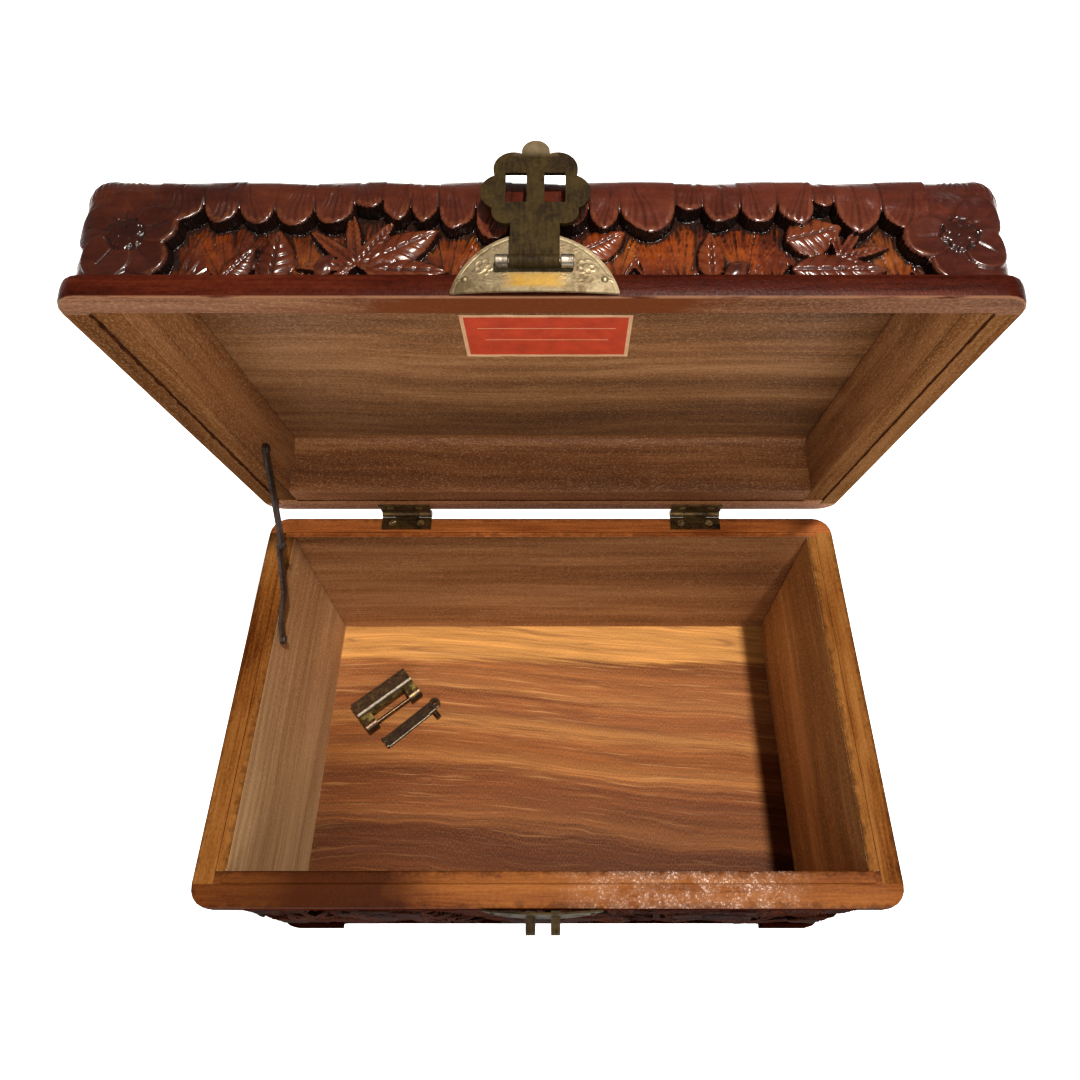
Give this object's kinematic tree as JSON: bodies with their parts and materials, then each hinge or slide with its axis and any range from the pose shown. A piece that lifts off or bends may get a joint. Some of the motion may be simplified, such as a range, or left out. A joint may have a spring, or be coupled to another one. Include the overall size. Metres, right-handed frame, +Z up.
{
  "type": "jewelry box",
  "caption": "Carved wooden jewelry box with a hinged lid held by a folding stay, a brass hasp over two staples, and a sliding padlock with its key inside.",
  "frame": {"origin": "centre of the base, on the surface the box stands on", "axes": "+Z up, +X to the right of someone facing the hasp side, +Y to the back; the lid stands open and its hasp is folded up"},
  "size_m": [0.3, 0.2486, 0.3372],
  "materials": {
    "carved_wood": "glossy stained varnish",
    "rail_wood": "glossy stained varnish",
    "bare_wood": "bare, matt",
    "floor_wood": "bare, matt",
    "label_paper": "printed paper",
    "plate_brass": "pale, stamped",
    "aged_brass": "aged, dull",
    "lock_brass": "dark, worn",
    "dark_steel": "darkened"
  },
  "bodies": {
    "box": {"front_board": "carved_wood", "back_board": "carved_wood", "left_board": "carved_wood", "right_board": "carved_wood", "bottom_board": "floor_wood", "base_front": "carved_wood", "base_back": "carved_wood", "base_left": "carved_wood", "base_right": "carved_wood", "left_hinge_box_leaf": "aged_brass", "left_hinge_pin": "dark_steel", "right_hinge_box_leaf": "aged_brass", "right_hinge_pin": "dark_steel", "hinge_box_screws": "plate_brass", "box_plate": "plate_brass", "box_plate_nails": "plate_brass", "left_staple": "aged_brass", "right_staple": "aged_brass", "stay_box_screw": "dark_steel"},
    "lid": {"lid_top": "carved_wood", "lid_front_rail": "rail_wood", "lid_back_rail": "rail_wood", "lid_left_rail": "rail_wood", "lid_right_rail": "rail_wood", "lid_left_lining": "bare_wood", "lid_right_lining": "bare_wood", "lid_back_lining": "bare_wood", "paper_label": "label_paper", "left_hinge_lid_leaf": "aged_brass", "right_hinge_lid_leaf": "aged_brass", "hinge_lid_screws": "plate_brass", "lid_plate": "plate_brass", "lid_plate_nails": "plate_brass", "hasp_pin": "aged_brass", "stay_lid_screw": "dark_steel"},
    "hasp": {"hasp_flap": "aged_brass"},
    "stay_lower": {"stay_lower_link": "dark_steel"},
    "stay_upper": {"stay_upper_link": "dark_steel", "stay_rivet": "dark_steel"},
    "padlock": {"lock_case": "lock_brass"},
    "padlock_bolt": {"lock_bolt": "lock_brass", "lock_springs": "plate_brass"},
    "key": {"lock_key": "aged_brass"}
  },
  "joints": [
    {"name": "lid_hinge", "type": "hinge", "parent": "box", "child": "lid", "pos_m": [0, 0.098, 0.131], "axis": [1, 0, 0], "range_deg": [0, 76.3]},
    {"name": "hasp_hinge", "type": "hinge", "parent": "lid", "child": "hasp", "pos_m": [-0.002, 0.06102, 0.3262], "axis": [1, 0, 0], "range_deg": [0, 180]},
    {"name": "stay_lower_pivot", "type": "hinge", "parent": "box", "child": "stay_lower", "pos_m": [-0.1346, 0.0284, 0.1219], "axis": [1, 0, 0], "range_deg": [-46.06, 0.2]},
    {"name": "stay_upper_pivot", "type": "hinge", "parent": "lid", "child": "stay_upper", "pos_m": [-0.1303, 0.0904, 0.1975], "axis": [1, 0, 0], "range_deg": [-0.2, 26.51]},
    {"name": "padlock_lift", "type": "slide", "parent": "box", "child": "padlock", "axis": [0, 0, -1], "range_m": [-0.15, 0]},
    {"name": "padlock_slide", "type": "slide", "parent": "padlock", "child": "padlock_bolt", "axis": [0.7738, 0.6334, 0], "range_m": [0, 0.034]},
    {"name": "key_lift", "type": "slide", "parent": "box", "child": "key", "axis": [0, 0, -1], "range_m": [-0.15, 0]}
  ],
  "couplings": [
    {"joint": "stay_lower_pivot", "follows": "lid_hinge", "ratio": -0.60102},
    {"joint": "stay_upper_pivot", "follows": "lid_hinge", "ratio": 0.34479}
  ]
}
